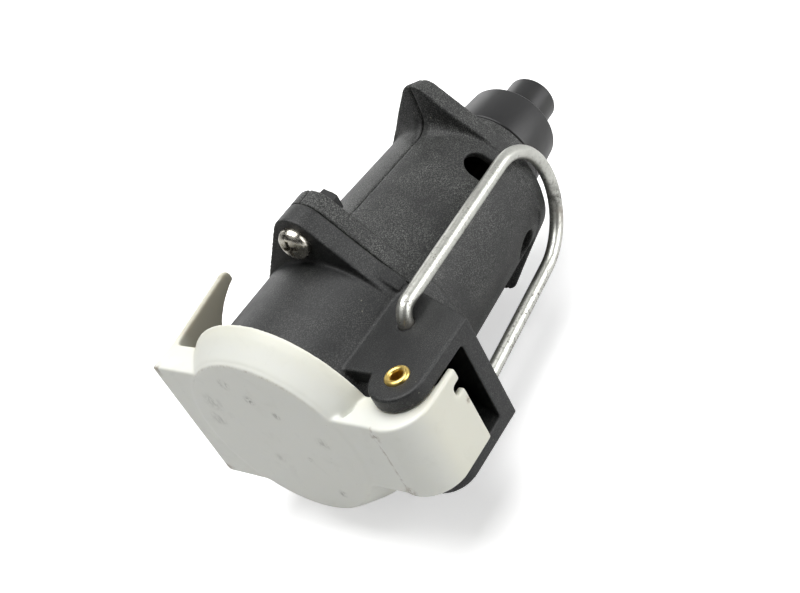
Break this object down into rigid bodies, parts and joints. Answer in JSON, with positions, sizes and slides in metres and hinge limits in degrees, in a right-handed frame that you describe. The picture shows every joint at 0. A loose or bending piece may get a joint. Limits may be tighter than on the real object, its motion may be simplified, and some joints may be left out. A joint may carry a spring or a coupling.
{
  "type": "trailer wiring connector",
  "caption": "Black trailer wiring plug with a sprung off-white hinged lid, a wire locking bail, a two-half rear shell and a rubber cable boot.",
  "frame": {"origin": "centre of the mating mouth, on the barrel axis in the plane of the front edge", "axes": "+X rearward along the barrel to the cable boot, +Y to the lid's latch arm, +Z to the upper flange screw"},
  "size_m": [0.1434, 0.0834, 0.0836],
  "materials": {
    "shell_nylon": "matt, glass-filled nylon with a fine moulded grain",
    "insert_nylon": "satin nylon",
    "retainer_nylon": "satin nylon",
    "contact_brass": "machined and tinned brass",
    "seal_rubber": "matt rubber",
    "boot_rubber": "smooth rubber with a soft sheen",
    "zinc_steel": "bright nickel-zinc plate, slightly yellow",
    "black_steel": "black oxide",
    "lid_plastic": "satin off-white plastic with grey handling marks",
    "rivet_brass": "polished brass",
    "spring_steel": "drawn spring wire",
    "wire_steel": "zinc-plated wire, mottled with a brown stain at the bend"
  },
  "bodies": {
    "housing": {"front_shell": "shell_nylon", "rear_shell_hinge_side": "shell_nylon", "rear_shell_latch_side": "shell_nylon", "contact_insert": "insert_nylon", "contact_retainer": "retainer_nylon", "power_contacts": "contact_brass", "signal_contacts": "contact_brass", "insert_gasket": "seal_rubber", "mating_seal": "seal_rubber", "flange_screws": "zinc_steel", "flange_nuts": "black_steel", "cable_boot": "boot_rubber", "cable_clamp_lower": "insert_nylon", "cable_clamp_upper": "insert_nylon", "clamp_screws": "zinc_steel", "hinge_rivet": "rivet_brass", "lid_spring": "spring_steel"},
    "lid": {"lid": "lid_plastic", "lid_gasket": "seal_rubber"},
    "bail": {"bail": "wire_steel"}
  },
  "joints": [
    {"name": "lid_hinge", "type": "hinge", "parent": "housing", "child": "lid", "pos_m": [0.0062, -0.0396, 0], "axis": [0, 0, 1], "range_deg": [0, 105], "stiffness_Nm_per_rad": 0.03, "springref_deg": -51.57, "deforming": ["lid_spring"]},
    {"name": "bail_pivot", "type": "hinge", "parent": "housing", "child": "bail", "pos_m": [0.0226, -0.0316, 0], "axis": [0, 0, 1], "range_deg": [-172, 0]}
  ]
}
